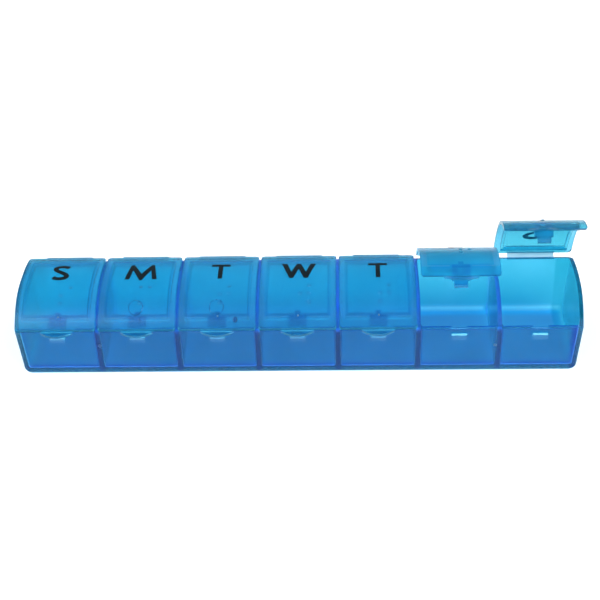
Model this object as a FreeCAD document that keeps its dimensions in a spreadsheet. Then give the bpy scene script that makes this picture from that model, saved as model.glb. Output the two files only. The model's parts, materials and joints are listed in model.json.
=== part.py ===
"""Seven-day pill organizer: one moulded tray and a snap lid for every compartment.

Frame: X runs along the row of compartments, Y from the latch side to the hinge
side, Z up. The origin is the centre of the underside. Millimetres and degrees.
"""
import FreeCAD
import Part
import math
import os

import Sketcher

Vector = FreeCAD.Vector
Rotation = FreeCAD.Rotation

DIMENSIONS = (
    ("pitch", 30.6, "spacing of the compartments"),
    ("tray_depth", 38.0, "front to back, at the base"),
    ("half_length_base", 106.6, "centre to end wall, at the base"),
    ("end_lean", 0.058, "outward lean of an end wall, per unit of height"),
    ("front_lean", 0.0505, "outward lean of the front wall, per unit of height"),
    ("wall", 1.5, "front, back and end walls"),
    ("floor", 1.5, "floor thickness"),
    ("divider_base", 2.0, "divider thickness at the floor"),
    ("divider_crest", 1.5, "divider thickness at the top"),
    ("rim_height", 21.0, "top of the front wall"),
    ("base_radius", 3.0, "rounding between the underside and an end wall"),
    ("front_radius", 0.8, "rounding of the front wall's outline"),
    ("back_radius", 2.5, "rounding of the back wall's outline"),
    ("cove_back", 3.0, "floor to back wall inside a compartment"),
    ("cove_front", 1.4, "floor to front wall inside a compartment"),
    ("cove_side", 0.8, "floor and walls to the dividers"),
    ("crest_y", 1.5, "top of the arch, across the tray"),
    ("crest_height", 30.5, "top of the arch, above the base"),
    ("rear_arch", 58.4, "radius of the arch behind the join"),
    ("front_arch", 24.5, "radius of the arch in front of the join"),
    ("join_angle", 4.77, "where the two arcs meet, forward of the crest"),
    ("lid_thickness", 1.2, "lid wall"),
    ("lid_clearance", 0.15, "closed lid to the tops of the walls"),
    ("lid_gap", 1.0, "between neighbouring lids"),
    ("lid_end", 107.7, "centre to the free side of an end lid"),
    ("lid_back", 19.4, "hinged edge of a lid"),
    ("lid_foot", 21.2, "front edge of a closed lid, above the base"),
    ("lid_front_radius", 1.1, "front corners of a lid"),
    ("lid_back_radius", 1.6, "back corners of a lid"),
    ("skirt_inset", 2.3, "lid side to the skirt under it"),
    ("skirt_front", -15.6, "front of the skirt"),
    ("skirt_back", 15.6, "back of the skirt"),
    ("skirt_wall", 1.0, "skirt thickness"),
    ("skirt_depth", 1.5, "skirt height under the lid"),
    ("tongue_front", -18.15, "front of the latch tongue"),
    ("tongue_root", 6.9, "width of the tongue's upper part"),
    ("tongue_tip", 5.0, "width of the tongue's lower part"),
    ("tongue_wall", 1.2, "tongue thickness"),
    ("shoulder_height", 19.4, "where the tongue narrows"),
    ("tip_height", 16.8, "lower end of the tongue"),
    ("tongue_step", 0.35, "how much thicker the tongue's upper part is"),
    ("tongue_overlap", 0.5, "how far the lower part runs up into the upper part"),
    ("barb_reach", 0.95, "how far the barb stands out of the tongue"),
    ("barb_height", 1.5, "upper face of the barb, above the tip"),
    ("barb_slope", 0.25, "fall of that face towards its edge"),
    ("barb_land", 0.3, "height of the barb's edge"),
    ("gusset_width", 2.0, "rib behind the tongue"),
    ("gusset_reach", 3.0, "how far the rib runs back under the lid"),
    ("tab_width", 12.8, "thumb tab along the lid's edge"),
    ("tab_reach", 2.5, "thumb tab out of the lid's edge"),
    ("tab_thickness", 0.95, "thumb tab"),
    ("tab_offset", 0.3, "thumb tab to the front wall"),
    ("tab_rise", 0.35, "where the tab leaves the lid, above the lid's foot"),
    ("tab_fall", 0.45, "drop of the tab towards its edge"),
    ("catch_width", 6.2, "boss on the front wall that holds the barb"),
    ("catch_top", 18.75, "upper edge of the catch boss"),
    ("catch_bottom", 15.9, "lower edge of the catch boss"),
    ("catch_reach", 1.0, "how far the catch stands out of the front wall"),
    ("channel_width", 5.8, "groove that guides the barb down the wall"),
    ("channel_depth", 0.4, "depth of that groove"),
    ("pocket_depth", 1.05, "depth of the hollow that the barb snaps into"),
    ("pocket_top", 18.3, "upper edge of that hollow"),
    ("pocket_bottom", 16.3, "lower edge of that hollow"),
    ("hinge_y", 21.0, "line that the lids turn about"),
    ("hinge_z", 26.6, "height of that line"),
    ("web_width", 18.6, "living hinge along the lid"),
    ("web_thickness", 0.35, "living hinge"),
    ("web_on_tray", 26.05, "where the web leaves the back wall"),
    ("web_on_lid", 27.0, "where the web reaches a closed lid"),
    ("dot_radius", 0.62, "raised dots on a lid"),
    ("dot_height", 0.4, "raised dots on a lid"),
    ("dot_left", 0.9, "first column of dots, from the lid's middle"),
    ("dot_right", 4.35, "second column of dots"),
    ("letter_front", 0.7, "foot of the printed letters"),
    ("letter_back", 11.1, "top of the printed letters"),
    ("stroke", 1.75, "thickness of a letter's strokes"),
    ("ink", 0.06, "thickness of the print"),
)

# Name of the day, its letter, the raised dots as (row, column) and how far the lid stands open.
DAYS = (
    ("sunday", "S", ((1, 0), (0, 1), (2, 0)), 0.0),
    ("monday", "M", ((0, 0), (2, 0), (0, 1)), 0.0),
    ("tuesday", "T", ((1, 0), (2, 0), (0, 1), (1, 1)), 0.0),
    ("wednesday", "W", ((1, 0), (0, 1), (1, 1), (2, 1)), 0.0),
    ("thursday", "T", ((1, 0), (2, 0), (0, 1), (1, 1)), 0.0),
    ("friday", "F", ((0, 0), (1, 0), (0, 1)), 31.1),
    ("saturday", "S", ((1, 0), (0, 1), (2, 0)), 54.8),
)
DOT_ROWS = (-3.9, -7.9, -11.5)
ABOVE_LIDS = 36.0
LETTER_WIDTHS = {"S": 7.0, "M": 12.2, "T": 7.2, "W": 13.4, "F": 6.2}

# The arch over a compartment is two arcs that meet smoothly.
JOIN = "Dims.join_angle * 1 deg"
REAR_Y = "Dims.crest_y"
REAR_Z = "(Dims.crest_height - Dims.rear_arch)"
FRONT_Y = f"(Dims.crest_y - (Dims.rear_arch - Dims.front_arch) * sin({JOIN}))"
FRONT_Z = f"({REAR_Z} + (Dims.rear_arch - Dims.front_arch) * cos({JOIN}))"
FRONT_BASE = "(-Dims.tray_depth / 2)"
BACK = "(Dims.tray_depth / 2)"
LID_UNDERSIDE = "(-Dims.lid_thickness)"
TRAY_ARCH = "(-Dims.lid_thickness - Dims.lid_clearance)"

document = FreeCAD.newDocument("PillOrganizer")
dims = document.addObject("Spreadsheet::Sheet", "Dims")


def fill_dimensions():
    """The driving dimensions: meaning, value and alias of each."""
    for row, (alias, value, meaning) in enumerate(DIMENSIONS, start=1):
        dims.set(f"A{row}", meaning)
        dims.set(f"B{row}", str(value))
        dims.setAlias(f"B{row}", alias)
    document.recompute()


def number(expression):
    """The present value of an expression in the sheet's aliases."""
    return float(dims.evalExpression(expression.replace("Dims.", "")))


def front_wall(height, inward="0"):
    """Y of the leaning front wall at a height, or of a surface set back from it."""
    return f"({FRONT_BASE} - Dims.front_lean * {height} + {inward})"


def rear_arch_height(y, offset):
    """Height of the arch's rear arc, grown or shrunk by an offset."""
    return f"({REAR_Z} + sqrt((Dims.rear_arch + {offset})^2 - ({y} - {REAR_Y})^2))"


def front_arch_height(y, offset):
    """Height of the arch's front arc."""
    return f"({FRONT_Z} + sqrt((Dims.front_arch + {offset})^2 - ({y} - {FRONT_Y})^2))"


def front_arch_y(height, offset):
    """Y at which the arch's front arc reaches a height."""
    return f"({FRONT_Y} - sqrt((Dims.front_arch + {offset})^2 - ({height} - {FRONT_Z})^2))"


def arch_join(offset):
    """The point where the arch's two arcs meet."""
    reach = f"(Dims.rear_arch + {offset})"
    return f"({REAR_Y} - {reach} * sin({JOIN}))", f"({REAR_Z} + {reach} * cos({JOIN}))"


def origin_plane(body, role):
    """One of a body's own origin planes."""
    return next(plane for plane in body.Origin.OriginFeatures if plane.Role == role)


def attached_sketch(body, name, role, offset=None):
    """An empty sketch on an origin plane, or parallel to it at an offset expression."""
    sketch = body.newObject("Sketcher::SketchObject", name)
    sketch.AttachmentSupport = [(origin_plane(body, role), "")]
    sketch.MapMode = "FlatFace"
    if offset is not None:
        sketch.setExpression("AttachmentOffset.Base.z", offset)
    return sketch


def arc_through(start, end, radius, side):
    """The short arc of a radius between two points; side is 1 if it turns left."""
    chord = end - start
    half = chord.Length / 2
    rise = radius - math.sqrt(radius * radius - half * half)
    outward = Vector(chord.y, -chord.x, 0).normalize()
    return Part.Arc(start, (start + end) / 2 + outward * (side * rise), end)


def add_outline(sketch, corners):
    """Closes an outline in a sketch, with every corner and radius bound to the sheet.

    A corner is (horizontal, vertical) and starts a straight side, or (horizontal,
    vertical, radius, side) and starts an arc to the next corner.
    """
    points = [Vector(number(corner[0]), number(corner[1]), 0) for corner in corners]
    first = sketch.GeometryCount
    joints = []
    for index, corner in enumerate(corners):
        start, end = points[index], points[(index + 1) % len(points)]
        if len(corner) == 2:
            sketch.addGeometry(Part.LineSegment(start, end))
            joints.append((1, 2))
            continue
        sketch.addGeometry(arc_through(start, end, number(corner[2]), corner[3]))
        joints.append((1, 2) if corner[3] > 0 else (2, 1))
    for index, corner in enumerate(corners):
        side, following = first + index, first + (index + 1) % len(corners)
        here, there = joints[index], joints[(index + 1) % len(corners)]
        sketch.addConstraint(Sketcher.Constraint("Coincident", side, here[1], following, there[0]))
        for kind, expression in (("DistanceX", corner[0]), ("DistanceY", corner[1])):
            bind(sketch, Sketcher.Constraint(kind, -1, 1, side, here[0], number(expression)), expression)
        if len(corner) == 4:
            bind(sketch, Sketcher.Constraint("Radius", side, number(corner[2])), corner[2])


def bind(sketch, constraint, expression):
    """Adds a constraint and drives it with an expression."""
    place = sketch.addConstraint(constraint)
    sketch.setExpression(f"Constraints[{place}]", expression)


def pad(body, name, sketch, length):
    """A pad of a total length, half to each side of its sketch."""
    feature = body.newObject("PartDesign::Pad", name)
    feature.Profile = sketch
    feature.Midplane = True
    feature.setExpression("Length", length)
    document.recompute()


def pocket(body, name, sketch, length):
    """A pocket of a total length, half to each side of its sketch, that must cut something."""
    before = body.Shape.Volume
    feature = body.newObject("PartDesign::Pocket", name)
    feature.Profile = sketch
    feature.Midplane = True
    feature.setExpression("Length", length)
    document.recompute()
    if not body.Shape.Volume < before:
        raise RuntimeError(f"{name} cuts nothing")


def edge_names(shape, wanted):
    """Names of a shape's edges whose bounding box a test accepts."""
    return [f"Edge{place}" for place, edge in enumerate(shape.Edges, start=1) if wanted(edge.BoundBox)]


def fillet(body, name, radius, wanted, count):
    """Rounds the body's edges that a test accepts; their number is known beforehand."""
    base = body.Tip
    names = edge_names(base.Shape, wanted)
    if len(names) != count:
        raise RuntimeError(f"{name}: {len(names)} edges, {count} expected")
    feature = body.newObject("PartDesign::Fillet", name)
    feature.Base = (base, names)
    feature.setExpression("Radius", radius)
    document.recompute()
    if feature.Shape.isNull() or not feature.Shape.isValid():
        raise RuntimeError(f"{name} can't be rounded")


def end_face(height):
    """X of the leaning end wall at a height."""
    return f"(Dims.half_length_base + Dims.end_lean * {height})"


def tray_block(body):
    """The tray's outer shape: end walls that lean out, and the arched section."""
    front_view = attached_sketch(body, "FrontView", "XZ_Plane")
    top = "Dims.crest_height"
    add_outline(front_view, [
        ("(-Dims.half_length_base)", "0"),
        ("Dims.half_length_base", "0"),
        (end_face(top), top),
        (f"(-{end_face(top)})", top),
    ])
    pad(body, "Block", front_view, "Dims.tray_depth * 2")

    section = attached_sketch(body, "SideSection", "YZ_Plane")
    rim_back = front_arch_y("Dims.rim_height", TRAY_ARCH)
    join_y, join_z = arch_join(TRAY_ARCH)
    add_outline(section, [
        (front_wall("Dims.rim_height"), "Dims.rim_height"),
        (FRONT_BASE, "0"),
        (BACK, "0"),
        (BACK, rear_arch_height(BACK, TRAY_ARCH), f"(Dims.rear_arch + {TRAY_ARCH})", 1),
        (join_y, join_z, f"(Dims.front_arch + {TRAY_ARCH})", 1),
        (rim_back, "Dims.rim_height"),
    ])
    around = "(Dims.tray_depth + 2)"
    add_outline(section, [
        (f"(-{around})", "-2"),
        (around, "-2"),
        (around, "(Dims.crest_height + 2)"),
        (f"(-{around})", "(Dims.crest_height + 2)"),
    ])
    pocket(body, "ArchedSection", section, "Dims.half_length_base * 3")

    half_depth = number(BACK)

    def under_end(box):
        return box.ZMax < 0.01 and box.XLength < 0.01

    def back_outline(box):
        return box.YMin > half_depth - 0.1 and (box.ZLength > 1 or box.ZMax < 0.01)

    def front_outline(box):
        return box.YMax < 0.1 - half_depth and (box.ZLength > 1 or box.ZMax < 0.01)

    fillet(body, "BaseEnds", "Dims.base_radius", under_end, 2)
    fillet(body, "BackOutline", "Dims.back_radius", back_outline, 5)
    fillet(body, "FrontOutline", "Dims.front_radius", front_outline, 5)


def compartment(body, index, height, name):
    """Plan outline of a compartment's hollow at a height, as a sketch."""
    slope = "((Dims.divider_base - Dims.divider_crest) / Dims.crest_height)"
    half_divider = f"((Dims.divider_base - {slope} * {height}) / 2)"
    left = f"({index - 3.5} * Dims.pitch + {half_divider})"
    right = f"({index - 2.5} * Dims.pitch - {half_divider})"
    if index == 0:
        left = f"(-{end_face(height)} + Dims.wall)"
    if index == len(DAYS) - 1:
        right = f"({end_face(height)} - Dims.wall)"
    front, back = front_wall(height, "Dims.wall"), f"({BACK} - Dims.wall)"
    sketch = attached_sketch(body, name, "XY_Plane", height)
    add_outline(sketch, [(left, front), (right, front), (right, back), (left, back)])
    return sketch


def hollow_compartments(body):
    """Seven tapered hollows, with coved corners all round their floors."""
    for index, day in enumerate(DAYS):
        label = day[0].capitalize()
        loft = body.newObject("PartDesign::SubtractiveLoft", f"Hollow{label}")
        loft.Profile = compartment(body, index, "Dims.floor", f"Floor{label}")
        loft.Sections = [compartment(body, index, str(ABOVE_LIDS), f"Mouth{label}")]
        loft.Ruled = True
        document.recompute()

    floor = number("Dims.floor")
    middle = number("Dims.cove_back") + floor
    half_depth = number(f"({BACK} - Dims.wall / 2)")
    half_length = number("(Dims.half_length_base - Dims.wall / 4)")
    days = len(DAYS)

    def on_floor(box):
        return abs(box.ZMin - floor) < 0.01 and box.ZLength < 0.01 and box.XLength > 20

    def along_side(box):
        if abs(box.Center.x) > half_length or not floor - 0.01 < box.ZMin < middle + 0.01:
            return False
        if box.XLength > 1.8 or abs(box.Center.y) > half_depth:
            return False
        return box.YLength > 25 or box.ZLength > 15 or box.ZMax < middle + 0.01

    fillet(body, "BackCoves", "Dims.cove_back", lambda box: on_floor(box) and box.YMin > 0, days)
    fillet(body, "FrontCoves", "Dims.cove_front", lambda box: on_floor(box) and box.YMax < 0, days)
    fillet(body, "SideCoves", "Dims.cove_side", along_side, 10 * days)


def catches(body):
    """A hollow boss for each barb, and the groove that leads the barb down to it."""
    lean = "Dims.front_lean"
    root = "0.4"
    top, bottom = "Dims.catch_top", "Dims.catch_bottom"
    pocket_top, pocket_bottom = "Dims.pocket_top", "Dims.pocket_bottom"
    inner = "Dims.wall"
    open_side = "(Dims.wall + 1.5)"
    channel = "(Dims.wall - Dims.channel_depth)"
    deep = "(Dims.wall - Dims.pocket_depth)"
    for index, day in enumerate(DAYS):
        label = day[0].capitalize()
        middle = f"({index - 3} * Dims.pitch)"
        boss = attached_sketch(body, f"BossSection{label}", "YZ_Plane", middle)
        add_outline(boss, [
            (front_wall(top, root), top),
            (front_wall(top, "(-Dims.catch_reach)"), f"({top} - 0.15)"),
            (front_wall(bottom, "(-0.35)"), bottom),
            (front_wall(bottom, root), f"({bottom} - 0.35)"),
        ])
        pad(body, f"Boss{label}", boss, "Dims.catch_width")
        groove = attached_sketch(body, f"GrooveSection{label}", "YZ_Plane", middle)
        above = "(Dims.rim_height + 2)"
        add_outline(groove, [
            (front_wall(above, channel), above),
            (front_wall(pocket_top, channel), pocket_top),
            (front_wall(pocket_top, deep), f"({pocket_top} - 0.2)"),
            (front_wall(pocket_bottom, deep), f"({pocket_bottom} + 0.5)"),
            (front_wall(pocket_bottom, inner), pocket_bottom),
            (front_wall(pocket_bottom, open_side), pocket_bottom),
            (front_wall(above, open_side), above),
        ])
        pocket(body, f"Groove{label}", groove, "Dims.channel_width")


def make_tray():
    """The tray: floor, walls, dividers and catches in one moulding."""
    body = document.addObject("PartDesign::Body", "Tray")
    body.Label = "tray"
    tray_block(body)
    hollow_compartments(body)
    catches(body)
    return body


def arched_band(sketch, front_corner, back, outer, inner, front_height):
    """Outline of a layer that follows the arch, from a front edge to a back edge.

    The front edge lies at a height if front_height is true, and otherwise at a Y.
    """
    outer_join, inner_join = arch_join(outer), arch_join(inner)
    if front_height:
        outer_front = (front_arch_y(front_corner, outer), front_corner)
        inner_front = (front_arch_y(front_corner, inner), front_corner)
    else:
        outer_front = (front_corner, front_arch_height(front_corner, outer))
        inner_front = (front_corner, front_arch_height(front_corner, inner))
    add_outline(sketch, [
        (back, rear_arch_height(back, outer), f"(Dims.rear_arch + {outer})", 1),
        (*outer_join, f"(Dims.front_arch + {outer})", 1),
        outer_front,
        (*inner_front, f"(Dims.front_arch + {inner})", -1),
        (*inner_join, f"(Dims.rear_arch + {inner})", -1),
        (back, rear_arch_height(back, inner)),
    ])


def lid_sides(index):
    """Left and right sides of a lid, from the middle of its compartment."""
    near = "((Dims.pitch - Dims.lid_gap) / 2)"
    far = f"(Dims.lid_end - {len(DAYS) // 2} * Dims.pitch)"
    left = far if index == 0 else near
    right = far if index == len(DAYS) - 1 else near
    return left, right


def lid_shell(body, index):
    """The arched plate with rounded corners."""
    left, right = lid_sides(index)
    section = attached_sketch(body, "LidSection", "YZ_Plane", f"(({right} - {left}) / 2)")
    arched_band(section, "Dims.lid_foot", "Dims.lid_back", "0", LID_UNDERSIDE, True)
    pad(body, "Plate", section, f"({left} + {right})")
    sides = number(left), number(right)
    back, front = number("Dims.lid_back"), number(front_arch_y("Dims.lid_foot", LID_UNDERSIDE))

    def short_edge(box):
        return box.XLength < 0.01 and min(abs(box.XMin + sides[0]), abs(box.XMax - sides[1])) < 0.01

    def back_corner(box):
        return short_edge(box) and box.YMin > back - 0.01

    def front_corner(box):
        return short_edge(box) and box.YMax < front + 0.01 and box.ZLength < 0.01

    fillet(body, "BackCorners", "Dims.lid_back_radius", back_corner, 2)
    fillet(body, "FrontCorners", "Dims.lid_front_radius", front_corner, 2)


def lid_skirt(body, index):
    """A rib under the lid, all the way round, that fits inside the compartment."""
    left, right = lid_sides(index)
    middle = f"(({right} - {left}) / 2)"
    width = f"({left} + {right} - 2 * Dims.skirt_inset)"
    lower = "(-Dims.lid_thickness - Dims.skirt_depth)"
    upper = "(-Dims.lid_thickness / 2)"
    outside = attached_sketch(body, "SkirtSection", "YZ_Plane", middle)
    arched_band(outside, "Dims.skirt_front", "Dims.skirt_back", upper, lower, False)
    pad(body, "Skirt", outside, width)
    inside = attached_sketch(body, "SkirtHollow", "YZ_Plane", middle)
    front = "(Dims.skirt_front + Dims.skirt_wall)"
    back = "(Dims.skirt_back - Dims.skirt_wall)"
    arched_band(inside, front, back, LID_UNDERSIDE, f"({lower} - 1)", False)
    pocket(body, "SkirtInside", inside, f"({width} - 2 * Dims.skirt_wall)")


def lid_tongue(body):
    """The latch: a tongue with shoulders, a barb near its tip and a rib behind it."""
    front = "Dims.tongue_front"
    back = "(Dims.tongue_front + Dims.tongue_wall)"
    root_back = f"({back} + Dims.tongue_step)"
    inside_lid = "(-Dims.lid_thickness / 2)"
    upper = attached_sketch(body, "TongueRootSection", "YZ_Plane")
    add_outline(upper, [
        (front, "Dims.shoulder_height"),
        (root_back, "Dims.shoulder_height"),
        (root_back, front_arch_height(root_back, inside_lid)),
        (front, front_arch_height(front, inside_lid)),
    ])
    pad(body, "TongueRoot", upper, "Dims.tongue_root")
    lower = attached_sketch(body, "TongueSection", "YZ_Plane")
    tip, top = "Dims.tip_height", "(Dims.shoulder_height + Dims.tongue_overlap)"
    barb = "(Dims.tongue_front - Dims.barb_reach)"
    barb_top = "(Dims.tip_height + Dims.barb_height)"
    add_outline(lower, [
        (front, top),
        (front, barb_top),
        (barb, f"({barb_top} - Dims.barb_slope)"),
        (barb, f"({barb_top} - Dims.barb_slope - Dims.barb_land)"),
        (f"({front} + 0.1)", tip),
        (f"({back} - 0.2)", tip),
        (back, top),
    ])
    pad(body, "Tongue", lower, "Dims.tongue_tip")
    rib = attached_sketch(body, "GussetSection", "YZ_Plane")
    rib_end = f"({back} + Dims.gusset_reach)"
    add_outline(rib, [
        (back, "Dims.shoulder_height"),
        (rib_end, front_arch_height(rib_end, LID_UNDERSIDE)),
        (rib_end, front_arch_height(rib_end, inside_lid)),
        (back, front_arch_height(back, inside_lid)),
    ])
    pad(body, "Gusset", rib, "Dims.gusset_width")


def lid_tab(body):
    """The thumb tab: a thin lip with a curved edge, in front of the front wall."""
    top = "(Dims.lid_foot + Dims.tab_rise)"
    tip_top = f"({top} - Dims.tab_fall)"
    outer_top = front_arch_y(top, "0")
    start = front_wall("Dims.lid_foot", "(-Dims.tab_offset)")
    edge = front_arch_y("Dims.lid_foot", "0")
    tip = f"({edge} - Dims.tab_reach)"
    section = attached_sketch(body, "TabSection", "YZ_Plane")
    add_outline(section, [
        (f"({outer_top} + 0.5)", "Dims.lid_foot"),
        (f"({outer_top} + 0.5)", top),
        (outer_top, top),
        (tip, tip_top),
        (tip, f"({tip_top} - Dims.tab_thickness)"),
        (start, f"({top} - Dims.tab_thickness - 0.1)"),
        (start, "Dims.lid_foot"),
    ])
    pad(body, "TabBlank", section, "Dims.tab_width")
    half = "(Dims.tab_width / 2)"
    radius = f"(({half}^2 + Dims.tab_reach^2) / (2 * Dims.tab_reach))"
    outside = f"({tip} - 1)"
    trim = attached_sketch(body, "TabTrim", "XY_Plane")
    add_outline(trim, [
        (f"(-{half})", edge, f"({radius})", 1),
        ("0", tip, f"({radius})", 1),
        (half, edge),
        (f"({half} + 1)", edge),
        (f"({half} + 1)", outside),
        (f"(-{half} - 1)", outside),
        (f"(-{half} - 1)", edge),
    ])
    pocket(body, "TabEdge", trim, "Dims.crest_height * 3")


def lid_dots(body, dots):
    """Raised dots on the front half of the lid."""
    columns = ("Dims.dot_left", "Dims.dot_right")
    sphere = "((Dims.dot_radius^2 + Dims.dot_height^2) / (2 * Dims.dot_height))"
    centre = f"(Dims.dot_height - {sphere})"
    for count, (row, column) in enumerate(dots, start=1):
        y = f"({DOT_ROWS[row]})"
        dot = body.newObject("PartDesign::AdditiveSphere", f"Dot{count}")
        dot.setExpression("Radius", sphere)
        dot.setExpression("Placement.Base.x", columns[column])
        dot.setExpression("Placement.Base.y", y)
        dot.setExpression("Placement.Base.z", front_arch_height(y, centre))
        document.recompute()


def compartment_placement(index):
    """The middle of a compartment, along the row."""
    middle = (index - len(DAYS) // 2) * number("Dims.pitch")
    return FreeCAD.Placement(Vector(middle, 0, 0), Rotation())


def lid_placement(index):
    """Where a lid stands: over its compartment, turned open about the hinge line."""
    turn = Rotation(Vector(-1, 0, 0), DAYS[index][3])
    about = Vector(0, number("Dims.hinge_y"), number("Dims.hinge_z"))
    return compartment_placement(index) * FreeCAD.Placement(Vector(), turn, about)


def make_lid(index):
    """A lid with its skirt, latch tongue, thumb tab and raised dots."""
    name, _, dots, _ = DAYS[index]
    body = document.addObject("PartDesign::Body", f"Lid{name.capitalize()}")
    body.Label = f"lid_{name}"
    lid_shell(body, index)
    lid_skirt(body, index)
    lid_tongue(body)
    lid_tab(body)
    lid_dots(body, dots)
    body.Placement = lid_placement(index)
    return body


def make_hinge(index):
    """A living hinge: a thin web bowed between the back wall and the lid's back edge.

    It leaves the wall square, turns through 180 degrees less the lid's opening, and
    meets the lid's back edge square.
    """
    name, _, _, opening = DAYS[index]
    body = document.addObject("PartDesign::Body", f"Hinge{name.capitalize()}")
    body.Label = f"hinge_{name}"
    open_by = f"({opening} * 1 deg)"
    turn = f"({180 - opening} * 1 deg)"
    half_turn = f"({90 - opening / 2} * 1 deg)"
    arm_y, arm_z = "(Dims.lid_back - Dims.hinge_y)", "(Dims.web_on_lid - Dims.hinge_z)"
    lid_y = f"(Dims.hinge_y + {arm_y} * cos({open_by}) + {arm_z} * sin({open_by}))"
    lid_z = f"(Dims.hinge_z - {arm_y} * sin({open_by}) + {arm_z} * cos({open_by}))"
    leg = f"({0.9 - 0.0073 * opening})"
    rise = f"({lid_z} - Dims.web_on_tray)"
    bend = f"(({rise} - {leg} * sin({turn})) / (1 - cos({turn})))"
    start = f"({lid_y} - {bend} * sin({turn}) - {leg} * cos({turn}))"

    def on_bend(angle, offset):
        reach = f"({bend} + {offset})"
        centre_z = f"(Dims.web_on_tray + {bend})"
        return f"({start} + {reach} * sin({angle}))", f"({centre_z} - {reach} * cos({angle}))"

    def at_lid(offset):
        y, z = on_bend(turn, offset)
        return f"({y} + {leg} * cos({turn}))", f"({z} + {leg} * sin({turn}))"

    outer, inner = "(Dims.web_thickness / 2)", "(-Dims.web_thickness / 2)"
    section = attached_sketch(body, "WebSection", "YZ_Plane")
    add_outline(section, [
        (BACK, f"(Dims.web_on_tray - {outer})"),
        (*on_bend("0 deg", outer), f"({bend} + {outer})", 1),
        (*on_bend(half_turn, outer), f"({bend} + {outer})", 1),
        on_bend(turn, outer),
        at_lid(outer),
        at_lid(inner),
        (*on_bend(turn, inner), f"({bend} + {inner})", -1),
        (*on_bend(half_turn, inner), f"({bend} + {inner})", -1),
        on_bend("0 deg", inner),
        (BACK, f"(Dims.web_on_tray + {outer})"),
    ])
    pad(body, "Web", section, "Dims.web_width")
    body.Placement = compartment_placement(index)
    return body


def letter_outline(letter):
    """Corners of a letter, in plan, as fractions of its width and height with stroke steps.

    Each corner is (width fraction, height fraction, strokes across, strokes up).
    """
    shapes = {
        "T": (
            (-0.5, 1, 0, -1), (-0.5, 1, 0, 0), (0.5, 1, 0, 0), (0.5, 1, 0, -1),
            (0, 1, 0.5, -1), (0, 0, 0.5, 0), (0, 0, -0.5, 0), (0, 1, -0.5, -1),
        ),
        "F": (
            (-0.5, 0, 0, 0), (-0.5, 1, 0, 0), (0.5, 1, 0, 0), (0.5, 1, 0, -1),
            (-0.5, 1, 1, -1), (-0.5, 0.5, 1, 0.6), (0.4, 0.5, 0, 0.6),
            (0.4, 0.5, 0, -0.4), (-0.5, 0.5, 1, -0.4), (-0.5, 0, 1, 0),
        ),
        "M": (
            (-0.5, 0, 0, 0), (-0.32, 1, -0.35, 0), (-0.32, 1, 0.35, 0),
            (0, 0.36, 0, 0), (0.32, 1, -0.35, 0), (0.32, 1, 0.35, 0),
            (0.5, 0, 0, 0), (0.5, 0, -1.05, 0), (0.32, 0.6, -0.25, 0),
            (0, 0, 0.3, -0.3), (0, 0, -0.3, -0.3), (-0.32, 0.6, 0.25, 0),
            (-0.5, 0, 1.05, 0),
        ),
        "W": (
            (-0.5, 1, 0, 0), (-0.5, 1, 1.2, 0), (-0.21, 0.4, 0, 0),
            (0, 1, -0.45, 0), (0, 1, 0.45, 0), (0.21, 0.4, 0, 0),
            (0.5, 1, -1.2, 0), (0.5, 1, 0, 0), (0.21, 0, 0.45, 0),
            (0.21, 0, -0.45, 0), (0, 0.6, 0, 0), (-0.21, 0, 0.45, 0),
            (-0.21, 0, -0.45, 0),
        ),
    }
    width, height = LETTER_WIDTHS[letter], "(Dims.letter_back - Dims.letter_front)"
    corners = []
    for across, up, strokes_across, strokes_up in shapes[letter]:
        x = f"({across * width} + {strokes_across} * Dims.stroke)"
        y = f"(Dims.letter_front + {up} * {height} + {strokes_up} * Dims.stroke)"
        corners.append((x, y))
    return corners


def letter_s_outline():
    """An S of two opposed bows, each a ring sector, with square ends."""
    height = "(Dims.letter_back - Dims.letter_front)"
    outer = f"(({height} + Dims.stroke) / 4)"
    inner = f"({outer} - Dims.stroke)"
    stretch = f"({LETTER_WIDTHS['S']} / 2 - {outer})"
    low, middle, high = "Dims.letter_front", f"(Dims.letter_front + {height} / 2)", "Dims.letter_back"
    step = "(Dims.stroke / 2)"
    left, right = f"(-{stretch})", stretch
    end = f"({stretch} + {outer} * 0.55)"
    return [
        (f"(-{end})", low),
        (right, low, outer, 1),
        (f"({right} + {outer})", f"({low} + {outer})", outer, 1),
        (right, f"({middle} + {step})"),
        (left, f"({middle} + {step})", inner, -1),
        (f"({left} - {inner})", f"({high} - {outer})", inner, -1),
        (left, f"({high} - Dims.stroke)"),
        (end, f"({high} - Dims.stroke)"),
        (end, high),
        (left, high, outer, 1),
        (f"({left} - {outer})", f"({high} - {outer})", outer, 1),
        (left, f"({middle} - {step})"),
        (right, f"({middle} - {step})", inner, -1),
        (f"({right} + {inner})", f"({low} + {outer})", inner, -1),
        (right, f"({low} + Dims.stroke)"),
        (f"(-{end})", f"({low} + Dims.stroke)"),
    ]


def loose_sketch(name, rotation):
    """A sketch that belongs to no body."""
    sketch = document.addObject("Sketcher::SketchObject", name)
    sketch.Placement = FreeCAD.Placement(Vector(), rotation)
    return sketch


def extrusion(name, sketch, direction, length):
    """A solid extrusion of a sketch, half to each side."""
    solid = document.addObject("Part::Extrusion", name)
    solid.Base = sketch
    solid.DirMode = "Custom"
    solid.Dir = direction
    solid.Solid = True
    solid.Symmetric = True
    solid.setExpression("LengthFwd", length)
    return solid


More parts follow.
